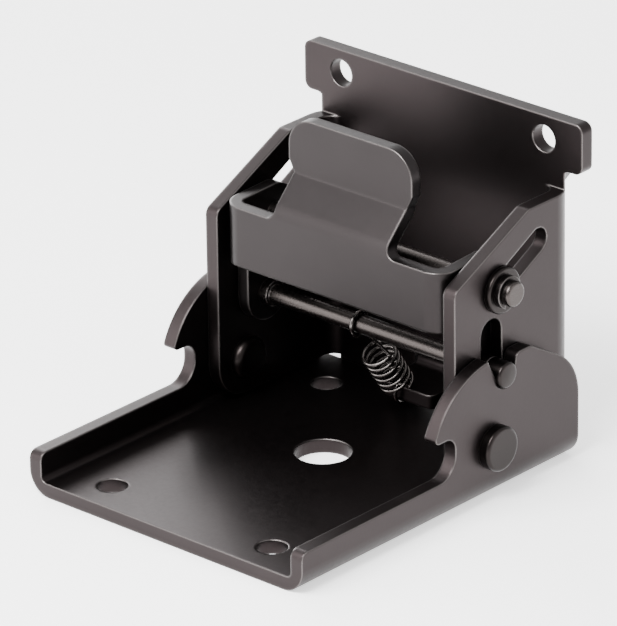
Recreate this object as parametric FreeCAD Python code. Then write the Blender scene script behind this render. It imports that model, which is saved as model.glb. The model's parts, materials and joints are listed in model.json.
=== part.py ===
"""Self-locking folding leg bracket: a leg channel, a table bracket, a release lever and its lock rod.

Millimetres. X runs across the bracket, Y from the open front of the leg channel to the table plate, Z up.
Heights start at the underside of the leg channel, depths at its front edge until the pieces are exported,
and then the origin moves to the middle of the underside. The bracket stands open, with the lock engaged.
"""
import math
import os

import FreeCAD
import Part

# Leg channel, one folded sheet
LEG_WIDTH = 48.0
LEG_DEPTH = 54.8
LEG_SHEET = 2.0
LEG_BEND_INSIDE = 0.8
LEG_BEND_OUTSIDE = 3.4
FLANGE_HEIGHT = 6.0
FLANGE_CORNER = 1.2
EAR_LOBE_RADIUS = 12.5
EAR_CREST_HEIGHT = 19.5
EAR_CREST_LENGTH = 3.3
EAR_CREST_LEAN = 0.5
EAR_CREST_CORNER = 1.0
EAR_SHOULDER_DROP = 5.6
EAR_SHOULDER_RADIUS = 8.0
EAR_LIP_RADIUS = 0.6
EAR_CROOK_RADIUS = 3.2
LEG_SCREW_DIAMETER = 4.2
LEG_SCREW_SPACING = 28.2
LEG_SCREW_FRONT = 5.2
LEG_SCREW_BACK = 7.4
LEG_ACCESS_DIAMETER = 7.8
LEG_ACCESS_DEPTH = 30.9

# Pivot of the fold
PIVOT_DEPTH = 37.6
PIVOT_HEIGHT = 7.65
RIVET_DIAMETER = 4.4
RIVET_HEAD_DIAMETER = 6.2
RIVET_HEAD_HEIGHT = 1.6
RIVET_BUTTON_DIAMETER = 6.0
RIVET_BUTTON_HEIGHT = 1.5
RIVET_CHAMFER = 0.45

# Table bracket, one folded sheet
BRACKET_SHEET = 2.0
BRACKET_BEND_INSIDE = 2.0
BRACKET_HEIGHT = 47.2
CHEEK_FRONT_REACH = 5.2
CHEEK_FRONT_HEIGHT = 30.4
CHEEK_TOP_HEIGHT = 37.5
CHEEK_TOP_DEPTH = 47.2
CHEEK_CORNER = 1.4
HEAD_OVERHANG = 2.4
HEAD_HEIGHT = 7.0
HEAD_CORNER = 1.2
NECK_INSET = 0.4
NECK_TAPER = 2.0
HEEL_SPREAD = 0.6
HEEL_HEIGHT = 0.6
TABLE_SCREW_DIAMETER = 3.8
TABLE_SCREW_EDGE = 6.5
TABLE_SCREW_DROP = 3.3
LOWER_SCREW_SPACING = 20.0
LOWER_SCREW_HEIGHT = 21.0
TONGUE_WIDTH = 9.0
TONGUE_REACH = 7.5
TONGUE_HEIGHT = 3.4
TONGUE_BEND_INSIDE = 1.0
TONGUE_CORNER = 1.0
TONGUE_RELIEF = 0.4

# Lock rod, guide rod and the slots that they run in
LOCK_DEPTH = 39.8
LOCK_HEIGHT = 17.2
LOCK_DIAMETER = 3.6
LOCK_WAIST_DIAMETER = 2.6
LOCK_SHOULDER_LENGTH = 1.2
GUIDE_DEPTH = 41.3
GUIDE_HEIGHT = 28.2
GUIDE_DIAMETER = 2.9
GUIDE_GROOVE_DIAMETER = 2.1
GUIDE_HEAD_DIAMETER = 3.5
GUIDE_HEAD_LENGTH = 1.1
GUIDE_SLOT_SPARE = 2.7
WASHER_DIAMETER = 6.4
WASHER_THICKNESS = 0.8
CLIP_DIAMETER = 4.5
CLIP_THICKNESS = 0.8
CLIP_MOUTH = 1.8
RELEASE_LIFT = 5.2
RELEASE_TURN_DEG = 31.0

# Release lever, one folded sheet
LEVER_SHEET = 1.8
LEVER_BEND_INSIDE = 1.2
LEVER_SETBACK = 0.2
BAND_BOTTOM = 23.5
BAND_TOP = 32.0
ARM_LOCK_RADIUS = 4.0
ARM_GUIDE_RADIUS = 4.1
ARM_CROOK_RADIUS = 1.5
TAB_WIDTH = 19.6
TAB_HEAD_WIDTH = 21.4
TAB_CORNER = 4.0
TAB_ROOT_RADIUS = 1.5
TAB_LEAN_START = 1.3
TAB_LEAN_REACH = 4.2
TAB_LEAN_RISE = 4.3
TAB_CREASE_INSIDE = 0.4
TAB_TOP = 45.4

# Return spring
SPRING_ACROSS = -1.2
SPRING_WIRE = 0.55
SPRING_DIAMETER = 5.0
SPRING_TURNS = 6
SPRING_PITCH = 1.2
SPRING_START = 6.2
SPRING_HOOK_RADIUS = 1.6
SPRING_KNUCKLE_DIAMETER = 0.62

# Clearances
SIDE_CLEARANCE = 0.2
HEEL_CLEARANCE = 0.3
RUNNING_CLEARANCE = 0.05
PRESS_CLEARANCE = 0.02
NOTCH_CLEARANCE = 0.12
SLOT_CLEARANCE = 0.12
END_CLEARANCE = 0.15
ARM_CLEARANCE = 0.5
HOOK_CLEARANCE = 0.12

# Places that follow from the sizes above
LEG_INSIDE = LEG_WIDTH / 2 - LEG_SHEET
CHEEK_OUTSIDE = LEG_INSIDE - SIDE_CLEARANCE
CHEEK_INSIDE = CHEEK_OUTSIDE - BRACKET_SHEET
CHEEK_FRONT = PIVOT_DEPTH - CHEEK_FRONT_REACH
CHEEK_BOTTOM = PIVOT_HEIGHT - CHEEK_FRONT_REACH
PLATE_FRONT = LEG_DEPTH + HEEL_CLEARANCE
PLATE_BACK = PLATE_FRONT + BRACKET_SHEET
LEVER_FRONT = CHEEK_FRONT + LEVER_SETBACK
ARM_OUTSIDE = CHEEK_INSIDE - ARM_CLEARANCE
ARM_INSIDE = ARM_OUTSIDE - LEVER_SHEET
NOTCH_RADIUS = LOCK_DIAMETER / 2 + NOTCH_CLEARANCE
FOLD_NOTCH_DEPTH = PIVOT_DEPTH - (LOCK_HEIGHT - PIVOT_HEIGHT)
FOLD_NOTCH_HEIGHT = PIVOT_HEIGHT + (LOCK_DEPTH - PIVOT_DEPTH)
WASHER_INSIDE = CHEEK_OUTSIDE + END_CLEARANCE
WASHER_OUTSIDE = WASHER_INSIDE + WASHER_THICKNESS
CLIP_OUTSIDE = WASHER_OUTSIDE + PRESS_CLEARANCE + CLIP_THICKNESS
TONGUE_TIP = PLATE_FRONT - TONGUE_REACH
TONGUE_TOP = TONGUE_HEIGHT + BRACKET_SHEET
FAR = 100.0

# Release of the lever: both rods turn about one centre behind them while they run in straight slots
HALF_TURN = math.radians(RELEASE_TURN_DEG / 2)
LOCK_SWING_RADIUS = RELEASE_LIFT / 2 / math.sin(HALF_TURN)
CENTRE_DEPTH = LOCK_DEPTH + LOCK_SWING_RADIUS * math.cos(HALF_TURN)
CENTRE_HEIGHT = LOCK_HEIGHT + RELEASE_LIFT / 2
LOCK_BOW = LOCK_SWING_RADIUS * (1 - math.cos(HALF_TURN))
GUIDE_SWING_RADIUS = math.hypot(GUIDE_DEPTH - CENTRE_DEPTH, GUIDE_HEIGHT - CENTRE_HEIGHT)
GUIDE_BOW = GUIDE_SWING_RADIUS * (1 - math.cos(HALF_TURN))
GUIDE_BEARING = math.atan2(GUIDE_HEIGHT - CENTRE_HEIGHT, GUIDE_DEPTH - CENTRE_DEPTH) - HALF_TURN
GUIDE_TRAVEL = 2 * GUIDE_SWING_RADIUS * math.sin(HALF_TURN)

# Spring hook through the tongue: its outer and inner reach from its centre where it crosses the sheet
HOOK_OUTER = SPRING_HOOK_RADIUS + SPRING_WIRE / 2
HOOK_INNER = math.sqrt((SPRING_HOOK_RADIUS - SPRING_WIRE / 2) ** 2 - (BRACKET_SHEET / 2) ** 2)
HOOK_DEPTH = TONGUE_TIP + HOOK_INNER - HOOK_CLEARANCE
TONGUE_EYE_DEPTH = HOOK_DEPTH + (HOOK_OUTER + HOOK_INNER) / 2
TONGUE_EYE_DIAMETER = HOOK_OUTER - HOOK_INNER + 2 * HOOK_CLEARANCE


def rounded_wire(corners, place):
    """Closed outline through (a, b, radius) corners, each rounded by its radius."""
    edges = []
    count = len(corners)
    starts = []
    ends = []
    for i, (a, b, radius) in enumerate(corners):
        corner = FreeCAD.Vector(a, b, 0)
        before = FreeCAD.Vector(*corners[i - 1][:2], 0) - corner
        after = FreeCAD.Vector(*corners[(i + 1) % count][:2], 0) - corner
        before.normalize()
        after.normalize()
        half = before.getAngle(after) / 2
        trim = radius / math.tan(half)
        starts.append(corner + before * trim)
        ends.append(corner + after * trim)
        if radius:
            middle = before + after
            middle.normalize()
            top = corner + middle * (radius / math.sin(half) - radius)
            edges.append(Part.Arc(place(starts[i]), place(top), place(ends[i])).toShape())
    for i in range(count):
        if (ends[i] - starts[(i + 1) % count]).Length > 1e-6:
            edges.append(Part.LineSegment(place(ends[i]), place(starts[(i + 1) % count])).toShape())
    return Part.Wire(Part.__sortEdges__(edges))


def on_side(point):
    """Put an outline's (depth, height) on the plane X = 0."""
    return FreeCAD.Vector(0, point.x, point.y)


def on_plan(point):
    """Put an outline's (across, depth) on the plane Z = 0."""
    return FreeCAD.Vector(point.x, point.y, 0)


def on_front(point):
    """Put an outline's (across, height) on the plane Y = 0."""
    return FreeCAD.Vector(point.x, 0, point.y)


def side_prism(corners, low, high):
    """Outline in (depth, height), carried across from X = low to X = high."""
    face = Part.Face(rounded_wire(corners, on_side))
    face.translate(FreeCAD.Vector(low, 0, 0))
    return face.extrude(FreeCAD.Vector(high - low, 0, 0))


def plan_prism(corners, low, high):
    """Outline in (across, depth), carried up from Z = low to Z = high."""
    face = Part.Face(rounded_wire(corners, on_plan))
    face.translate(FreeCAD.Vector(0, 0, low))
    return face.extrude(FreeCAD.Vector(0, 0, high - low))


def front_prism(corners, near, far):
    """Outline in (across, height), carried back from Y = near to Y = far."""
    face = Part.Face(rounded_wire(corners, on_front))
    face.translate(FreeCAD.Vector(0, near, 0))
    return face.extrude(FreeCAD.Vector(0, far - near, 0))


def block(low, high):
    """Plain rectangular solid between two corners."""
    size = [b - a for a, b in zip(low, high)]
    return Part.makeBox(*size, FreeCAD.Vector(*low))


def cross_rod(depth, height, radius, low, high):
    """Round bar across the bracket."""
    return Part.makeCylinder(radius, high - low, FreeCAD.Vector(low, depth, height), FreeCAD.Vector(1, 0, 0))


def upright_hole(across, depth, diameter):
    """Cutter for a hole through a level sheet."""
    return Part.makeCylinder(diameter / 2, 2 * FAR, FreeCAD.Vector(across, depth, -FAR))


def level_hole(across, height, diameter):
    """Cutter for a hole through the table plate."""
    start = FreeCAD.Vector(across, 0, height)
    return Part.makeCylinder(diameter / 2, FAR, start, FreeCAD.Vector(0, 1, 0))


def cross_slot(start, end, width):
    """Cutter for a round-ended slot through both cheeks, between two (depth, height) points."""
    radius = width / 2
    slant = math.atan2(end[1] - start[1], end[0] - start[0])
    across = (-math.sin(slant) * radius, math.cos(slant) * radius)
    corners = [(start[0] - across[0], start[1] - across[1], 0), (end[0] - across[0], end[1] - across[1], 0),
               (end[0] + across[0], end[1] + across[1], 0), (start[0] + across[0], start[1] + across[1], 0)]
    ends = [cross_rod(depth, height, radius, -FAR, FAR) for depth, height in (start, end)]
    return side_prism(corners, -FAR, FAR).fuse(ends)


def mirrored(shape):
    """The same piece on the other side of the bracket."""
    return shape.mirror(FreeCAD.Vector(0, 0, 0), FreeCAD.Vector(1, 0, 0))


def round_cross_edges(shape, depth, height, radius):
    """Round the edges that run across the bracket through one (depth, height) point."""
    chosen = []
    for edge in shape.Edges:
        ends = [vertex.Point for vertex in edge.Vertexes]
        on_line = [abs(p.y - depth) < 0.02 and abs(p.z - height) < 0.02 for p in ends]
        if len(ends) == 2 and all(on_line):
            chosen.append(edge)
    return shape.makeFillet(radius, chosen)


def leg_channel():
    """Open channel that carries the leg: a base, two low flanges and two ears with the lock notches."""
    half = LEG_WIDTH / 2
    top = PIVOT_HEIGHT + EAR_LOBE_RADIUS + LEG_SHEET
    section = [(-half, top, 0), (-half, 0, LEG_BEND_OUTSIDE), (half, 0, LEG_BEND_OUTSIDE), (half, top, 0),
               (LEG_INSIDE, top, 0), (LEG_INSIDE, LEG_SHEET, LEG_BEND_INSIDE),
               (-LEG_INSIDE, LEG_SHEET, LEG_BEND_INSIDE), (-LEG_INSIDE, top, 0)]
    folded = front_prism(section, 0, LEG_DEPTH)

    strip = side_prism([(0, 0, 0), (LEG_DEPTH, 0, 0), (LEG_DEPTH, FLANGE_HEIGHT, 0),
                        (0, FLANGE_HEIGHT, FLANGE_CORNER)], -half, half)
    behind_lock = block((-half, LOCK_DEPTH, PIVOT_HEIGHT), (half, FAR, FAR))
    lobe = cross_rod(PIVOT_DEPTH, PIVOT_HEIGHT, EAR_LOBE_RADIUS, -half, half).cut(behind_lock)
    crest_front = LOCK_DEPTH + NOTCH_RADIUS
    crest_back = crest_front + EAR_CREST_LENGTH
    shoulder = side_prism([(PIVOT_DEPTH, 0, 0), (LEG_DEPTH, 0, 0),
                           (LEG_DEPTH, EAR_CREST_HEIGHT - EAR_SHOULDER_DROP, EAR_SHOULDER_RADIUS),
                           (crest_back, EAR_CREST_HEIGHT, EAR_CREST_LENGTH / 2),
                           (crest_front + EAR_CREST_LEAN, EAR_CREST_HEIGHT, EAR_CREST_CORNER),
                           (crest_front, LOCK_HEIGHT, 0), (PIVOT_DEPTH, LOCK_HEIGHT, 0)], -half, half)
    silhouette = strip.fuse([lobe, shoulder])

    mouth = LOCK_HEIGHT + FAR
    flare = NOTCH_RADIUS + 0.5 * (mouth - LOCK_HEIGHT)
    lock_notch = cross_rod(LOCK_DEPTH, LOCK_HEIGHT, NOTCH_RADIUS, -FAR, FAR).fuse(
        side_prism([(LOCK_DEPTH - NOTCH_RADIUS, LOCK_HEIGHT, 0), (crest_front, LOCK_HEIGHT, 0),
                    (crest_front, mouth, 0), (LOCK_DEPTH - flare, mouth, 0)], -FAR, FAR))
    fold_back = FOLD_NOTCH_DEPTH + NOTCH_RADIUS
    fold_high = FOLD_NOTCH_HEIGHT + NOTCH_RADIUS
    fold_notch = side_prism([(0, FLANGE_HEIGHT, 0), (fold_back, FLANGE_HEIGHT, EAR_CROOK_RADIUS),
                             (fold_back, fold_high, NOTCH_RADIUS), (0, fold_high, 0)], -FAR, FAR)
    shape = folded.common(silhouette).cut([lock_notch, fold_notch])
    lip = PIVOT_DEPTH - math.sqrt(EAR_LOBE_RADIUS ** 2 - (fold_high - PIVOT_HEIGHT) ** 2)
    shape = round_cross_edges(shape, lip, fold_high, EAR_LIP_RADIUS)

    holes = [upright_hole(0, LEG_ACCESS_DEPTH, LEG_ACCESS_DIAMETER)]
    for side in (-1, 1):
        for depth in (LEG_SCREW_FRONT, LEG_DEPTH - LEG_SCREW_BACK):
            holes.append(upright_hole(side * LEG_SCREW_SPACING / 2, depth, LEG_SCREW_DIAMETER))
    holes.append(cross_rod(PIVOT_DEPTH, PIVOT_HEIGHT, RIVET_DIAMETER / 2, -FAR, FAR))
    return shape.cut(holes).removeSplitter()


def table_bracket():
    """Upright that screws to the table: a headed plate, two slotted cheeks and the spring's tongue."""
    outside = BRACKET_BEND_INSIDE + BRACKET_SHEET
    section = [(-CHEEK_OUTSIDE, CHEEK_FRONT, 0), (-CHEEK_INSIDE, CHEEK_FRONT, 0),
               (-CHEEK_INSIDE, PLATE_FRONT, BRACKET_BEND_INSIDE),
               (CHEEK_INSIDE, PLATE_FRONT, BRACKET_BEND_INSIDE),
               (CHEEK_INSIDE, CHEEK_FRONT, 0), (CHEEK_OUTSIDE, CHEEK_FRONT, 0),
               (CHEEK_OUTSIDE, PLATE_BACK, outside), (-CHEEK_OUTSIDE, PLATE_BACK, outside)]
    folded = plan_prism(section, CHEEK_BOTTOM, CHEEK_TOP_HEIGHT)
    profile = side_prism([(CHEEK_FRONT, CHEEK_BOTTOM, CHEEK_FRONT_REACH),
                          (PLATE_BACK, CHEEK_BOTTOM, 0), (PLATE_BACK, CHEEK_TOP_HEIGHT, 0),
                          (CHEEK_TOP_DEPTH, CHEEK_TOP_HEIGHT, CHEEK_CORNER),
                          (CHEEK_FRONT, CHEEK_FRONT_HEIGHT, CHEEK_CORNER)], -CHEEK_OUTSIDE, CHEEK_OUTSIDE)
    cheeks = folded.common(profile)

    neck = CHEEK_OUTSIDE - NECK_INSET
    head = CHEEK_OUTSIDE + HEAD_OVERHANG
    head_bottom = BRACKET_HEIGHT - HEAD_HEIGHT
    web = CHEEK_INSIDE - BRACKET_BEND_INSIDE
    heel = web + HEEL_SPREAD
    waist = neck - NECK_TAPER
    plate = front_prism([(-waist, CHEEK_TOP_HEIGHT, 0), (waist, CHEEK_TOP_HEIGHT, 0),
                         (neck, head_bottom, HEAD_CORNER), (head, head_bottom, HEAD_CORNER),
                         (head, BRACKET_HEIGHT, HEAD_CORNER), (-head, BRACKET_HEIGHT, HEAD_CORNER),
                         (-head, head_bottom, HEAD_CORNER), (-neck, head_bottom, HEAD_CORNER)],
                        PLATE_FRONT, PLATE_BACK)
    foot = block((-heel, PLATE_FRONT, HEEL_HEIGHT), (heel, PLATE_BACK, CHEEK_BOTTOM + BRACKET_SHEET))
    middle = block((-web, PLATE_FRONT, CHEEK_BOTTOM), (web, PLATE_BACK, head_bottom))
    shape = cheeks.fuse([plate, foot, middle])

    half = TONGUE_WIDTH / 2
    relief = half + TONGUE_RELIEF
    gap = block((-relief, 0, 0), (relief, FAR, TONGUE_TOP + TONGUE_BEND_INSIDE))
    root = TONGUE_TOP + 2 * TONGUE_BEND_INSIDE
    bent = side_prism([(TONGUE_TIP, TONGUE_HEIGHT, 0),
                       (PLATE_BACK, TONGUE_HEIGHT, TONGUE_BEND_INSIDE + BRACKET_SHEET),
                       (PLATE_BACK, root, 0), (PLATE_FRONT, root, 0),
                       (PLATE_FRONT, TONGUE_TOP, TONGUE_BEND_INSIDE), (TONGUE_TIP, TONGUE_TOP, 0)],
                      -half, half)
    outline = plan_prism([(-half, TONGUE_TIP, TONGUE_CORNER), (half, TONGUE_TIP, TONGUE_CORNER),
                          (half, PLATE_BACK, 0), (-half, PLATE_BACK, 0)], 0, root)
    shape = shape.cut(gap).fuse(bent.common(outline))

    cuts = [guide_slot(), lock_slot(), upright_hole(SPRING_ACROSS, TONGUE_EYE_DEPTH, TONGUE_EYE_DIAMETER),
            cross_rod(PIVOT_DEPTH, PIVOT_HEIGHT, RIVET_DIAMETER / 2 + RUNNING_CLEARANCE, -FAR, FAR)]
    for side in (-1, 1):
        cuts.append(level_hole(side * (head - TABLE_SCREW_EDGE), BRACKET_HEIGHT - TABLE_SCREW_DROP,
                               TABLE_SCREW_DIAMETER))
        cuts.append(level_hole(side * LOWER_SCREW_SPACING / 2, LOWER_SCREW_HEIGHT, TABLE_SCREW_DIAMETER))
    return shape.cut(cuts).removeSplitter()


def lock_slot():
    """Upright slot for the lock rod, wide enough for the slight bow of its path."""
    depth = LOCK_DEPTH - LOCK_BOW / 2
    width = LOCK_DIAMETER + LOCK_BOW + 2 * SLOT_CLEARANCE
    return cross_slot((depth, LOCK_HEIGHT), (depth, LOCK_HEIGHT + RELEASE_LIFT), width)


def guide_slot():
    """Slanted slot for the guide rod, wide enough for the slight bow of its path."""
    outward = (math.cos(GUIDE_BEARING), math.sin(GUIDE_BEARING))
    onward = (outward[1], -outward[0])
    start = (GUIDE_DEPTH + outward[0] * GUIDE_BOW / 2, GUIDE_HEIGHT + outward[1] * GUIDE_BOW / 2)
    length = GUIDE_TRAVEL + GUIDE_SLOT_SPARE
    end = (start[0] + onward[0] * length, start[1] + onward[1] * length)
    return cross_slot(start, end, GUIDE_DIAMETER + GUIDE_BOW + 2 * SLOT_CLEARANCE)


def bent_strip(front, sheet):
    """Corners of a bent strip's side outline, from (depth, height, inside radius) points up its front."""
    near = []
    far = []
    for i, (depth, height, inside) in enumerate(front):
        below = front[max(i - 1, 0)]
        above = front[min(i + 1, len(front) - 1)]
        into = math.atan2(height - below[1], depth - below[0]) if i else None
        out = math.atan2(above[1] - height, above[0] - depth) if i < len(front) - 1 else into
        into = out if into is None else into
        middle = (into + out) / 2 - math.pi / 2
        reach = sheet / math.cos((out - into) / 2)
        radii = (inside + sheet, inside) if out < into else (inside, inside + sheet)
        if out == into:
            radii = (0, 0)
        near.append((depth, height, radii[0]))
        far.append((depth + reach * math.cos(middle), height + reach * math.sin(middle), radii[1]))
    return near + far[::-1]


def release_lever():
    """Folded lever: a band with a leaning finger tab and two arms that carry the rods."""
    outside = LEVER_BEND_INSIDE + LEVER_SHEET
    inner_face = LEVER_FRONT + LEVER_SHEET
    section = [(-ARM_OUTSIDE, LEVER_FRONT, outside), (ARM_OUTSIDE, LEVER_FRONT, outside),
               (ARM_OUTSIDE, PLATE_FRONT, 0), (ARM_INSIDE, PLATE_FRONT, 0),
               (ARM_INSIDE, inner_face, LEVER_BEND_INSIDE), (-ARM_INSIDE, inner_face, LEVER_BEND_INSIDE),
               (-ARM_INSIDE, PLATE_FRONT, 0), (-ARM_OUTSIDE, PLATE_FRONT, 0)]
    folded = plan_prism(section, 0, BRACKET_HEIGHT)

    crook = LOCK_DEPTH - ARM_LOCK_RADIUS
    web = side_prism([(LEVER_FRONT, BAND_BOTTOM, 0), (crook, BAND_BOTTOM, ARM_CROOK_RADIUS),
                      (crook, LOCK_HEIGHT, 0), (LOCK_DEPTH + ARM_LOCK_RADIUS, LOCK_HEIGHT, 0),
                      (GUIDE_DEPTH + ARM_GUIDE_RADIUS, GUIDE_HEIGHT, 0),
                      (GUIDE_DEPTH, GUIDE_HEIGHT + ARM_GUIDE_RADIUS, 0),
                      (LEVER_FRONT, BAND_TOP, 0)], -ARM_OUTSIDE, ARM_OUTSIDE)
    lock_end = cross_rod(LOCK_DEPTH, LOCK_HEIGHT, ARM_LOCK_RADIUS, -ARM_OUTSIDE, ARM_OUTSIDE)
    guide_end = cross_rod(GUIDE_DEPTH, GUIDE_HEIGHT, ARM_GUIDE_RADIUS, -ARM_OUTSIDE, ARM_OUTSIDE)
    arms = folded.common(web.fuse([lock_end, guide_end]))

    root = BAND_TOP - LEVER_SHEET
    lean_low = BAND_TOP + TAB_LEAN_START
    lean_high = lean_low + TAB_LEAN_RISE
    tab_depth = LEVER_FRONT + TAB_LEAN_REACH
    front = [(LEVER_FRONT, root, 0), (LEVER_FRONT, lean_low, LEVER_BEND_INSIDE),
             (tab_depth, lean_high, TAB_CREASE_INSIDE), (tab_depth, TAB_TOP, 0)]
    strip = side_prism(bent_strip(front, LEVER_SHEET), -FAR, FAR)
    half = TAB_WIDTH / 2
    head = TAB_HEAD_WIDTH / 2
    foot = half + 2 * TAB_ROOT_RADIUS
    flare = lean_high + 2 * (head - half)
    outline = front_prism([(-foot, root, 0), (foot, root, 0), (foot, BAND_TOP, 0),
                           (half, BAND_TOP, TAB_ROOT_RADIUS), (half, lean_high, 0), (head, flare, 0),
                           (head, TAB_TOP, TAB_CORNER), (-head, TAB_TOP, TAB_CORNER), (-head, flare, 0),
                           (-half, lean_high, 0), (-half, BAND_TOP, TAB_ROOT_RADIUS), (-foot, BAND_TOP, 0)],
                          0, PLATE_BACK)
    bores = [cross_rod(LOCK_DEPTH, LOCK_HEIGHT, LOCK_DIAMETER / 2 + PRESS_CLEARANCE, -FAR, FAR),
             cross_rod(GUIDE_DEPTH, GUIDE_HEIGHT, GUIDE_DIAMETER / 2 + PRESS_CLEARANCE, -FAR, FAR)]
    return arms.fuse(strip.common(outline)).cut(bores).removeSplitter()


def turned(corners, depth, height):
    """Turned piece on a cross axis, from the (across, radius) corners of its half section."""
    face = Part.Face(rounded_wire(corners, on_plan))
    shape = face.revolve(FreeCAD.Vector(0, 0, 0), FreeCAD.Vector(1, 0, 0), 360)
    shape.translate(FreeCAD.Vector(0, depth, height))
    return shape


def lock_rod():
    """Rod that drops into the ears' notches, thick at the ends and waisted for the spring."""
    journal = LOCK_DIAMETER / 2
    waist = LOCK_WAIST_DIAMETER / 2
    end = CHEEK_OUTSIDE
    shoulder = ARM_INSIDE - LOCK_SHOULDER_LENGTH
    return turned([(-end, 0, 0), (-end, journal, 0), (-shoulder, journal, 0), (-shoulder, waist, 0),
                   (shoulder, waist, 0), (shoulder, journal, 0), (end, journal, 0), (end, 0, 0)],
                  LOCK_DEPTH, LOCK_HEIGHT)


def guide_rod():
    """Rod that steers the lever along the slanted slots, grooved for its clips and headed at the ends."""
    body = GUIDE_DIAMETER / 2
    groove = GUIDE_GROOVE_DIAMETER / 2
    head = GUIDE_HEAD_DIAMETER / 2
    clip = CLIP_OUTSIDE + PRESS_CLEARANCE
    end = clip + GUIDE_HEAD_LENGTH
    round_over = GUIDE_HEAD_LENGTH / 3
    return turned([(-end, 0, 0), (-end, head, round_over), (-clip, head, 0), (-clip, groove, 0),
                   (-WASHER_OUTSIDE, groove, 0), (-WASHER_OUTSIDE, body, 0), (WASHER_OUTSIDE, body, 0),
                   (WASHER_OUTSIDE, groove, 0), (clip, groove, 0), (clip, head, 0),
                   (end, head, round_over), (end, 0, 0)], GUIDE_DEPTH, GUIDE_HEIGHT)


def guide_washer():
    """Right washer between the cheek and the guide rod's clip."""
    bore = GUIDE_DIAMETER / 2 + PRESS_CLEARANCE
    rim = WASHER_DIAMETER / 2
    return turned([(WASHER_INSIDE, bore, 0), (WASHER_INSIDE, rim, 0),
                   (WASHER_OUTSIDE, rim, WASHER_THICKNESS / 3), (WASHER_OUTSIDE, bore, 0)],
                  GUIDE_DEPTH, GUIDE_HEIGHT)


def guide_clip():
    """Right retaining clip, an open ring pushed into the guide rod's groove from below."""
    bore = GUIDE_GROOVE_DIAMETER / 2 + PRESS_CLEARANCE
    rim = CLIP_DIAMETER / 2
    low = CLIP_OUTSIDE - CLIP_THICKNESS
    ring = turned([(low, bore, 0), (low, rim, 0), (CLIP_OUTSIDE, rim, 0), (CLIP_OUTSIDE, bore, 0)],
                  GUIDE_DEPTH, GUIDE_HEIGHT)
    mouth = block((low, GUIDE_DEPTH - CLIP_MOUTH / 2, 0),
                  (CLIP_OUTSIDE, GUIDE_DEPTH + CLIP_MOUTH / 2, GUIDE_HEIGHT))
    return ring.cut(mouth)


def pivot_rivet():
    """Right pivot rivet: head on the ear, shank through ear and cheek, button inside the cheek."""
    shank = RIVET_DIAMETER / 2 - PRESS_CLEARANCE
    head = RIVET_HEAD_DIAMETER / 2
    button = RIVET_BUTTON_DIAMETER / 2
    ear = LEG_WIDTH / 2
    seat = CHEEK_INSIDE - RUNNING_CLEARANCE
    crown = seat - RIVET_BUTTON_HEIGHT
    return turned([(crown, 0, 0), (crown, button, RIVET_BUTTON_HEIGHT * 0.7), (seat, button, 0),
                   (seat, shank, 0), (ear, shank, 0), (ear, head, 0),
                   (ear + RIVET_HEAD_HEIGHT, head, RIVET_CHAMFER), (ear + RIVET_HEAD_HEIGHT, 0, 0)],
                  PIVOT_DEPTH, PIVOT_HEIGHT)


def straight_wire(start, end):
    """Length of spring wire with a slightly swollen bend at each end."""
    run = end - start
    bar = Part.makeCylinder(SPRING_WIRE / 2, run.Length, start, run)
    return bar.fuse([Part.makeSphere(SPRING_KNUCKLE_DIAMETER / 2, point) for point in (start, end)])


def return_spring():
    """Extension spring from the lock rod's waist to the eye in the bracket's tongue."""
    wire = SPRING_WIRE / 2
    coil_radius = SPRING_DIAMETER / 2 - wire
    rod = FreeCAD.Vector(SPRING_ACROSS, LOCK_DEPTH, LOCK_HEIGHT)
    eye = FreeCAD.Vector(SPRING_ACROSS, HOOK_DEPTH, TONGUE_TOP - BRACKET_SHEET / 2)
    along = (eye - rod).normalize()
    rod_loop = LOCK_WAIST_DIAMETER / 2 + HOOK_CLEARANCE + wire
    across = FreeCAD.Vector(1, 0, 0)

    length = SPRING_TURNS * SPRING_PITCH
    section = Part.Wire(Part.makeCircle(wire, FreeCAD.Vector(coil_radius, 0, 0), FreeCAD.Vector(0, 1, 0)))
    coil = Part.Wire(Part.makeHelix(SPRING_PITCH, length, coil_radius)).makePipeShell([section], True, True)
    coil_foot = rod + along * SPRING_START
    coil.Placement = FreeCAD.Placement(coil_foot, FreeCAD.Rotation(FreeCAD.Vector(0, 0, 1), along))
    coil_start = coil_foot + across * coil_radius
    coil_end = coil_start + along * length
    leads = [straight_wire(rod + along * rod_loop, coil_start),
             straight_wire(coil_end, eye - along * SPRING_HOOK_RADIUS)]
    loops = [Part.makeTorus(rod_loop, wire, rod, across),
             Part.makeTorus(SPRING_HOOK_RADIUS, wire, eye, across)]
    return coil.fuse(leads + loops).removeSplitter()


def export(shape, name):
    """Write one piece with the origin under the middle of the bracket."""
    shape.translate(FreeCAD.Vector(0, -PLATE_BACK / 2, 0))
    shape.exportStep("parts/" + name + ".step")


os.makedirs("parts", exist_ok=True)
export(leg_channel(), "leg_channel")
export(table_bracket(), "table_bracket")
export(release_lever(), "release_lever")
export(lock_rod(), "lock_rod")
export(guide_rod(), "guide_rod")
export(return_spring(), "return_spring")
pairs = {"guide_washer": guide_washer(), "guide_clip": guide_clip(), "pivot_rivet": pivot_rivet()}
for label, paired in pairs.items():
    export(mirrored(paired), label + "_left")
    export(paired, label + "_right")
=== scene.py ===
import json
import math

import bpy
from mathutils import Matrix, Vector

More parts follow.
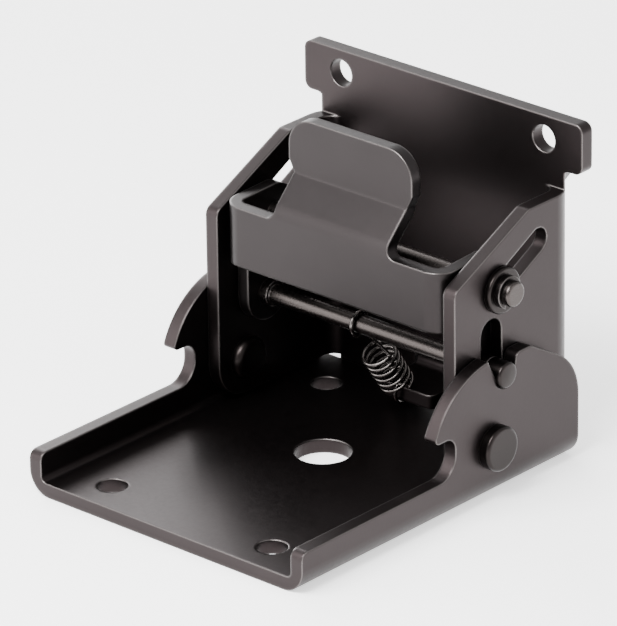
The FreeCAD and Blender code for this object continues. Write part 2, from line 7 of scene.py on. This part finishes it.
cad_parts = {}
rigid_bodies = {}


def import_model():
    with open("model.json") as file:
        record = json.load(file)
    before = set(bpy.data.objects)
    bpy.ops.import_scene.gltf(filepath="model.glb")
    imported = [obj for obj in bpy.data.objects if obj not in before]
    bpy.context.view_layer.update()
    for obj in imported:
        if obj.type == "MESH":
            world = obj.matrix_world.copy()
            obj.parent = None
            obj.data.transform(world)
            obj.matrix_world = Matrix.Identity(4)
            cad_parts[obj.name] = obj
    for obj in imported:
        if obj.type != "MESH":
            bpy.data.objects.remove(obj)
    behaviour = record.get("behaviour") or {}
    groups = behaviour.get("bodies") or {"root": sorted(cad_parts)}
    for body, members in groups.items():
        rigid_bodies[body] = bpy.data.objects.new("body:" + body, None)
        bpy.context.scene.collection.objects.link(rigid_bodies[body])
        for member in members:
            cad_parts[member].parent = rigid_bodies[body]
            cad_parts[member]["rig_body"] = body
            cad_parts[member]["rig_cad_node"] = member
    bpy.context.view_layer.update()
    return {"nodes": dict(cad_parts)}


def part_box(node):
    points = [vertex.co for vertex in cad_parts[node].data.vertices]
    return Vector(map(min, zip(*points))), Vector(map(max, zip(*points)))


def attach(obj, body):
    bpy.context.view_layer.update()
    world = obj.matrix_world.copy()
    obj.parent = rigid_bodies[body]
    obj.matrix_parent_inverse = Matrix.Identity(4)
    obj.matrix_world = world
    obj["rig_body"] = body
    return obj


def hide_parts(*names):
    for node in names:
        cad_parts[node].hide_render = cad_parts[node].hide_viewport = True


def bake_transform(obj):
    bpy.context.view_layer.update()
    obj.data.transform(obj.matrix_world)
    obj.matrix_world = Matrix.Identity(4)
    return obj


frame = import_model()

bl_info = {
    "name": "Folding Leg Bracket",
    "version": (1, 0, 0),
    "blender": (4, 5, 0),
    "location": "View3D > Sidebar > Bracket",
    "description": "Finishes, plate neck, lock ends, spring and studio for a folding leg bracket",
    "category": "Object",
}

# The finish of each node
SHEET_NODES = {"leg_channel": "sheet", "table_bracket": "sheet", "release_lever": "lever"}
TURNED_NODES = {
    "lock_rod": "rod", "guide_rod": "rod",
    "guide_washer_left": "rivet", "guide_washer_right": "rivet",
    "guide_clip_left": "rivet", "guide_clip_right": "rivet",
    "pivot_rivet_left": "rivet", "pivot_rivet_right": "rivet",
}

# Share of the edge radius, roughness and grain of each finish
FINISHES = {
    "sheet": (1.0, 0.35, 1800.0),
    "lever": (1.0, 0.35, 1800.0),
    "rod": (0.7, 0.27, 3000.0),
    "rivet": (0.7, 0.30, 3000.0),
    "wire": (0.2, 0.20, 5000.0),
}
GLOSSIER, DULLER = 0.06, 0.10   # how far the grain moves the roughness down and up
GRAIN_DEPTH = 0.00004
FULL_HIGHLIGHT = 0.72                # match of the soft and the flat normal where an edge gets the full painted highlight
EDGE_SAMPLES = 8

SAME_PLACE = 1e-6               # points nearer than this are one
SMOOTH_ANGLE = math.radians(40)
BEND_SIDES = 56
ROD_SIDES = 64
RIM_SEGMENTS = 4

WHITE = (1.0, 1.0, 1.0, 1.0)
PAPER = (0.94, 0.94, 0.94, 1.0)
PAPER_ROUGHNESS = 0.9
PAPER_GLOW = 1.0

# Place, aim, width in metres and power in watts of each soft light
MIDDLE = (0, 0, 0.02)
FLOOR_FRONT = (-0.01, -0.07, 0)
SOFT_LIGHTS = {
    "top_light": ((-0.14, -0.48, 0.58), MIDDLE, 0.5, 13.0),
    "back_light": ((-0.76, 0.34, 0.42), MIDDLE, 0.6, 10.0),
    "low_light": ((-0.65, -0.60, 0.16), MIDDLE, 0.5, 5.0),
    "side_light": ((0.7, 0.15, 0.3), MIDDLE, 0.5, 1.5),
    "front_light": ((0.05, -0.20, 0.28), FLOOR_FRONT, 0.12, 1.2),
}

CAMERA_PLACE = (0.53506, -0.59125, 0.37879)
CAMERA_RIGHT = (0.745075, 0.666861, -0.012609)
CAMERA_UP = (-0.263266, 0.311409, 0.913080)
CAMERA_BACK = (0.612825, -0.676994, 0.407585)
SENSOR_WIDTH = 36.0
CLIP_START = 0.01


class PlatingSettings(bpy.types.PropertyGroup):
    """Dark bronze plating on the folded sheet, the turned pieces and the spring."""

    sheet_colour: bpy.props.FloatVectorProperty(
        name="Sheet colour", description="Tone of the leg channel and the table bracket",
        subtype="COLOR", size=3, min=0.0, max=1.0, default=(0.031, 0.0251, 0.0254))
    lever_colour: bpy.props.FloatVectorProperty(
        name="Lever colour", description="Tone of the release lever",
        subtype="COLOR", size=3, min=0.0, max=1.0, default=(0.0285, 0.0250, 0.0252))
    rod_colour: bpy.props.FloatVectorProperty(
        name="Rod colour", description="Tone of the lock rod and the guide rod",
        subtype="COLOR", size=3, min=0.0, max=1.0, default=(0.056, 0.0485, 0.0462))
    rivet_colour: bpy.props.FloatVectorProperty(
        name="Rivet colour", description="Tone of the rivets, washers, clips and lock rod ends",
        subtype="COLOR", size=3, min=0.0, max=1.0, default=(0.020, 0.0167, 0.0162))
    wire_colour: bpy.props.FloatVectorProperty(
        name="Wire colour", description="Tone of the drawn spring wire",
        subtype="COLOR", size=3, min=0.0, max=1.0, default=(0.13, 0.118, 0.113))
    # Painted highlight: this colour is painted along the edges as a bright line
    edge_highlight_colour: bpy.props.FloatVectorProperty(
        name="Edge colour", description="Tone where the plating has rubbed bright on the edges",
        subtype="COLOR", size=3, min=0.0, max=1.0, default=(0.122, 0.112, 0.109))
    shade_share: bpy.props.FloatProperty(
        name="Shade", description="Share of each tone that is left where the plating clouds over",
        subtype="FACTOR", min=0.0, max=1.0, default=0.75)
    edge_radius: bpy.props.FloatProperty(
        name="Edge radius", description="Softness of the tumbled sheet edges",
        subtype="DISTANCE", unit="LENGTH", min=0.0, max=0.002, default=0.00045)


class NeckSettings(bpy.types.PropertyGroup):
    """Rounded sides of the table bracket's neck, between its cheeks and its head."""

    width: bpy.props.FloatProperty(
        name="Width", description="Distance over the cheeks",
        subtype="DISTANCE", unit="LENGTH", min=0.0, max=0.1, default=0.0436)
    foot: bpy.props.FloatProperty(
        name="Foot", description="Height at which the neck stands on the cheeks",
        subtype="DISTANCE", unit="LENGTH", min=0.0, max=0.1, default=0.0375)
    head: bpy.props.FloatProperty(
        name="Head", description="Height of the head above the neck",
        subtype="DISTANCE", unit="LENGTH", min=0.0, max=0.1, default=0.007)
    sheet: bpy.props.FloatProperty(
        name="Sheet", description="Thickness of the plate",
        subtype="DISTANCE", unit="LENGTH", min=0.0, max=0.01, default=0.002)
    bend: bpy.props.FloatProperty(
        name="Bend", description="Outside radius of the bend between plate and cheek",
        subtype="DISTANCE", unit="LENGTH", min=0.0, max=0.02, default=0.004)


class LockRodSettings(bpy.types.PropertyGroup):
    """Ends of the lock rod that drop into the notches of the ears."""

    reach: bpy.props.FloatProperty(
        name="Reach", description="Distance of each end face from the middle of the bracket",
        subtype="DISTANCE", unit="LENGTH", min=0.0, max=0.1, default=0.0246)
    chamfer: bpy.props.FloatProperty(
        name="Chamfer", description="Rounding round each end face",
        subtype="DISTANCE", unit="LENGTH", min=0.0, max=0.002, default=0.00035)


class StudioSettings(bpy.types.PropertyGroup):
    """Pale floor, soft light and camera."""

    floor_size: bpy.props.FloatProperty(
        name="Floor size", description="Side of the square floor",
        subtype="DISTANCE", unit="LENGTH", min=0.5, max=20.0, default=6.0)
    lens: bpy.props.FloatProperty(
        name="Lens", description="Focal length of the camera",
        subtype="DISTANCE_CAMERA", unit="CAMERA", min=20.0, max=800.0, default=384.0)
    sky: bpy.props.FloatProperty(
        name="Sky", description="Strength of the even light all round",
        min=0.0, max=10.0, default=1.3)


def add_node(material, kind, place, **values):
    """Add one shader node and set its unlinked sockets, with _ for a space in a socket's name."""
    node = material.node_tree.nodes.new(kind)
    node.location = place
    for name, value in values.items():
        node.inputs[name.replace("_", " ")].default_value = value
    return node


def add_colour_mix(material, place):
    """Add a mix of two colours and give its factor, its two colours and its result."""
    node = add_node(material, "ShaderNodeMix", place)
    node.data_type = "RGBA"
    first, second = [socket for socket in node.inputs if socket.type == "RGBA"]
    result = [socket for socket in node.outputs if socket.type == "RGBA"][0]
    return node.inputs["Factor"], first, second, result


def plating(finish, settings):
    """Dark plated metal with clouded tone, a painted highlight on the edges and fine grain, made once for
    each finish.
    """
    name = "bronzed_" + finish
    if name in bpy.data.materials:
        return bpy.data.materials[name]
    colour = getattr(settings, finish + "_colour")
    edge_share, roughness, grain = FINISHES[finish]
    material = bpy.data.materials.new(name)
    material.use_nodes = True
    material.node_tree.nodes.clear()
    link = material.node_tree.links.new
    place = add_node(material, "ShaderNodeTexCoord", (-1200, 0))
    shader = add_node(material, "ShaderNodeBsdfPrincipled", (0, 100), Metallic=1.0)
    output = add_node(material, "ShaderNodeOutputMaterial", (300, 100))
    link(shader.outputs["BSDF"], output.inputs["Surface"])

    # The tone clouds over here and there
    clouds = add_node(material, "ShaderNodeTexNoise", (-1000, 200), Scale=70.0, Detail=4.0, Roughness=0.6)
    clouding, shade, tone, clouded = add_colour_mix(material, (-600, 250))
    shade.default_value = (*[settings.shade_share * part for part in colour], 1.0)
    tone.default_value = (*colour, 1.0)
    link(place.outputs["Object"], clouds.inputs["Vector"])
    link(clouds.outputs["Fac"], clouding)

    # Painted highlight: an edge is painted bright where the softened normal turns away from the flat one
    soft = add_node(material, "ShaderNodeBevel", (-1000, -450), Radius=settings.edge_radius * edge_share)
    soft.samples = EDGE_SAMPLES
    flat = add_node(material, "ShaderNodeNewGeometry", (-1200, -500))
    match = add_node(material, "ShaderNodeVectorMath", (-800, -450))
    match.operation = "DOT_PRODUCT"
    highlight_range = add_node(material, "ShaderNodeMapRange", (-600, -350), From_Min=1.0, From_Max=FULL_HIGHLIGHT)
    highlight_factor, plated, highlight_tone, highlighted_tone = add_colour_mix(material, (-350, 200))
    highlight_tone.default_value = (*settings.edge_highlight_colour, 1.0)
    link(soft.outputs["Normal"], match.inputs[0])
    link(flat.outputs["True Normal"], match.inputs[1])
    link(match.outputs["Value"], highlight_range.inputs["Value"])
    link(highlight_range.outputs["Result"], highlight_factor)
    link(clouded, plated)
    link(highlighted_tone, shader.inputs["Base Color"])

    # Fine grain in the gloss and in the surface
    fine = add_node(material, "ShaderNodeTexNoise", (-1000, -100), Scale=grain, Detail=3.0, Roughness=0.55)
    gloss = add_node(material, "ShaderNodeMapRange", (-600, 0),
                     To_Min=roughness - GLOSSIER, To_Max=roughness + DULLER)
    bump = add_node(material, "ShaderNodeBump", (-350, -250), Strength=0.12, Distance=GRAIN_DEPTH)
    link(place.outputs["Object"], fine.inputs["Vector"])
    link(fine.outputs["Fac"], gloss.inputs["Value"])
    link(fine.outputs["Fac"], bump.inputs["Height"])
    link(soft.outputs["Normal"], bump.inputs["Normal"])
    link(gloss.outputs["Result"], shader.inputs["Roughness"])
    link(bump.outputs["Normal"], shader.inputs["Normal"])
    return material


def dress(piece, material):
    """Give a piece one material."""
    piece.data.materials.clear()
    piece.data.materials.append(material)


class BRACKET_OT_finish_sheet(bpy.types.Operator):
    """Plate the leg channel, the table bracket and the release lever"""
    bl_idname = "bracket.finish_sheet"
    bl_label = "Finish folded sheet"

    def execute(self, context):
        for name, finish in SHEET_NODES.items():
            dress(frame["nodes"][name], plating(finish, context.scene.bracket_plating))
        return {"FINISHED"}


class BRACKET_OT_finish_turned(bpy.types.Operator):
    """Plate the rods, washers, clips and rivets"""
    bl_idname = "bracket.finish_turned"
    bl_label = "Finish turned pieces"

    def execute(self, context):
        for name, finish in TURNED_NODES.items():
            dress(frame["nodes"][name], plating(finish, context.scene.bracket_plating))
        return {"FINISHED"}


def deselect():
    """Clear the selection, because an operator acts on all that is selected."""
    bpy.ops.object.select_all(action="DESELECT")


def copy_node(name, label):
    """Copy a node's mesh into a piece of its own, with its loose triangles merged."""
    deselect()
    source = frame["nodes"][name]
    source.select_set(True)
    bpy.context.view_layer.objects.active = source
    bpy.ops.object.duplicate()
    piece = bpy.context.object
    piece.name = label
    piece.parent = None
    # The copy is no CAD node, so it drops the marks of one
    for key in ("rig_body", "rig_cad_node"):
        del piece[key]
    piece.matrix_world = Matrix.Identity(4)
    bpy.ops.object.mode_set(mode="EDIT")
    bpy.ops.mesh.select_all(action="SELECT")
    bpy.ops.mesh.remove_doubles(threshold=SAME_PLACE)
    bpy.ops.object.mode_set(mode="OBJECT")
    return piece


def add_block(low, high):
    """Add an upright block between two corners."""
    deselect()
    low, high = Vector(low), Vector(high)
    bpy.ops.mesh.primitive_cube_add(size=1.0, location=(low + high) / 2, scale=high - low)
    bpy.ops.object.transform_apply(location=True, rotation=True, scale=True)
    return bpy.context.object


def combine(piece, tool, operation):
    """Join a tool to a piece, or keep only what the two share, and drop the tool."""
    change = piece.modifiers.new("neck", "BOOLEAN")
    change.operation = operation
    change.solver = "EXACT"
    change.object = tool
    bpy.context.view_layer.objects.active = piece
    bpy.ops.object.modifier_apply(modifier=change.name)
    bpy.data.objects.remove(tool)


class BRACKET_OT_round_neck(bpy.types.Operator):
    """Carry the bends of the cheeks up to the head of the table bracket"""
    bl_idname = "bracket.round_neck"
    bl_label = "Round plate neck"

    def execute(self, context):
        settings = context.scene.bracket_neck
        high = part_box("table_bracket")[1]
        sheet = copy_node("table_bracket", "table_sheet")
        front = high.y - settings.sheet
        bite = settings.sheet / 8   # how far each corner runs into the head
        top = high.z - settings.head + bite
        for side in (-1, 1):
            start = side * (settings.width / 2 - settings.bend)
            near, far = sorted((start, side * settings.width / 2))
            corner = add_block((near, front, settings.foot), (far, high.y, top))
            # A post of the bend's radius rounds the corner
            deselect()
            bpy.ops.mesh.primitive_cylinder_add(vertices=BEND_SIDES, radius=settings.bend, depth=high.z,
                                                location=(start, high.y - settings.bend, settings.foot))
            combine(corner, context.object, "INTERSECT")
            combine(sheet, corner, "UNION")
        dress(sheet, plating("sheet", context.scene.bracket_plating))
        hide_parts("table_bracket")
        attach(sheet, "bracket")
        return {"FINISHED"}


def round_rim(piece, across, width):
    """Round the rim of the end face that lies at one place across the bracket."""
    bpy.ops.object.mode_set(mode="EDIT")
    bpy.ops.mesh.select_mode(type="FACE")
    bpy.ops.mesh.select_all(action="DESELECT")
    bpy.ops.object.mode_set(mode="OBJECT")
    for face in piece.data.polygons:
        face.select = abs(face.center.x - across) < SAME_PLACE
    bpy.ops.object.mode_set(mode="EDIT")
    bpy.ops.mesh.region_to_loop()
    bpy.ops.mesh.bevel(offset=width, segments=RIM_SEGMENTS, profile=0.5, affect="EDGES")
    bpy.ops.object.mode_set(mode="OBJECT")


class BRACKET_OT_add_lock_ends(bpy.types.Operator):
    """Add the lock rod's ends, which stand through the notches of the ears"""
    bl_idname = "bracket.add_lock_ends"
    bl_label = "Add lock rod ends"

    def execute(self, context):
        settings = context.scene.bracket_lock
        low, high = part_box("lock_rod")
        radius = (high.z - low.z) / 2
        middle = (low + high) / 2
        length = settings.reach - high.x
        for side, label in ((-1, "left"), (1, "right")):
            deselect()
            centre = Vector((side * (high.x + length / 2), middle.y, middle.z))
            bpy.ops.mesh.primitive_cylinder_add(vertices=ROD_SIDES, radius=radius, depth=length,
                                                location=centre, rotation=(0, math.pi / 2, 0))
            end = context.object
            end.name = "lock_rod_end_" + label
            bpy.ops.object.transform_apply(location=True, rotation=True, scale=True)
            round_rim(end, side * settings.reach, settings.chamfer)
            bpy.ops.object.shade_smooth_by_angle(angle=SMOOTH_ANGLE)
            dress(end, plating("rivet", context.scene.bracket_plating))
            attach(end, "lever")
        return {"FINISHED"}


class BRACKET_OT_add_spring(bpy.types.Operator):
    """Add the return spring, which stretches between the tongue and the lock rod"""
    bl_idname = "bracket.add_spring"
    bl_label = "Add return spring"

    def execute(self, context):
        spring = copy_node("return_spring", "spring_coil")
        bpy.ops.object.shade_smooth_by_angle(angle=SMOOTH_ANGLE)
        dress(spring, plating("wire", context.scene.bracket_plating))
        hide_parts("return_spring")
        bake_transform(spring)
        return {"FINISHED"}


def add_floor(size):
    deselect()
    bpy.ops.mesh.primitive_plane_add(size=size, location=(0, 0, 0))
    floor = bpy.context.object
    floor.name = "floor"
    paper = bpy.data.materials.new("floor_paper")
    paper.use_nodes = True
    shader = paper.node_tree.nodes["Principled BSDF"]
    shader.inputs["Base Color"].default_value = PAPER
    shader.inputs["Roughness"].default_value = PAPER_ROUGHNESS
    shader.inputs["Emission Color"].default_value = WHITE
    shader.inputs["Emission Strength"].default_value = PAPER_GLOW
    dress(floor, paper)


def add_sky(strength):
    """Add an even white light from all round."""
    world = bpy.data.worlds.new("studio")
    world.use_nodes = True
    sky = world.node_tree.nodes["Background"]
    sky.inputs["Color"].default_value = WHITE
    sky.inputs["Strength"].default_value = strength
    bpy.context.scene.world = world


def add_soft_light(name, place, aim, size, power):
    """Add a square soft light turned to a point."""
    bpy.ops.object.light_add(type="AREA", location=place)
    light = bpy.context.object
    light.name = name
    light.data.size = size
    light.data.energy = power
    light.rotation_euler = (Vector(aim) - Vector(place)).to_track_quat("-Z", "Y").to_euler()


def add_camera(lens):
    """Add the camera at the photograph's viewing angle."""
    bpy.ops.object.camera_add()
    camera = bpy.context.object
    camera.name = "photo_camera"
    camera.data.sensor_width = SENSOR_WIDTH
    camera.data.lens = lens
    camera.data.clip_start = CLIP_START
    turn = Matrix((CAMERA_RIGHT, CAMERA_UP, CAMERA_BACK)).transposed().to_4x4()
    camera.matrix_world = Matrix.Translation(CAMERA_PLACE) @ turn
    bpy.context.scene.camera = camera


class BRACKET_OT_set_stage(bpy.types.Operator):
    """Set the pale floor, the soft light and the camera"""
    bl_idname = "bracket.set_stage"
    bl_label = "Set stage"

    def execute(self, context):
        settings = context.scene.bracket_studio
        add_floor(settings.floor_size)
        add_sky(settings.sky)
        for name, (place, aim, size, power) in SOFT_LIGHTS.items():
            add_soft_light(name, place, aim, size, power)
        add_camera(settings.lens)
        return {"FINISHED"}


class BRACKET_PT_panel(bpy.types.Panel):
    """Sidebar list of the bracket's pieces and settings"""
    bl_idname = "BRACKET_PT_panel"
    bl_label = "Folding leg bracket"
    bl_space_type = "VIEW_3D"
    bl_region_type = "UI"
    bl_category = "Bracket"

    def draw(self, context):
        for operator in OPERATORS:
            self.layout.operator(operator.bl_idname)
        for label, group in GROUPS.items():
            for name in group.__annotations__:
                self.layout.prop(getattr(context.scene, label), name)


GROUPS = {
    "bracket_plating": PlatingSettings,
    "bracket_neck": NeckSettings,
    "bracket_lock": LockRodSettings,
    "bracket_studio": StudioSettings,
}
OPERATORS = (
    BRACKET_OT_finish_sheet,
    BRACKET_OT_finish_turned,
    BRACKET_OT_round_neck,
    BRACKET_OT_add_lock_ends,
    BRACKET_OT_add_spring,
    BRACKET_OT_set_stage,
)
CLASSES = (*GROUPS.values(), *OPERATORS, BRACKET_PT_panel)


def register():
    """Register the classes and hang the settings on the scene."""
    for cls in CLASSES:
        bpy.utils.register_class(cls)
    for label, group in GROUPS.items():
        setattr(bpy.types.Scene, label, bpy.props.PointerProperty(type=group))


def unregister():
    """Take the settings off the scene and unregister the classes."""
    for label in GROUPS:
        delattr(bpy.types.Scene, label)
    for cls in reversed(CLASSES):
        bpy.utils.unregister_class(cls)


def main():
    """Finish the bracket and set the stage."""
    register()
    bpy.ops.bracket.finish_sheet()
    bpy.ops.bracket.finish_turned()
    bpy.ops.bracket.round_neck()
    bpy.ops.bracket.add_lock_ends()
    bpy.ops.bracket.add_spring()
    bpy.ops.bracket.set_stage()


if __name__ == "__main__":
    main()
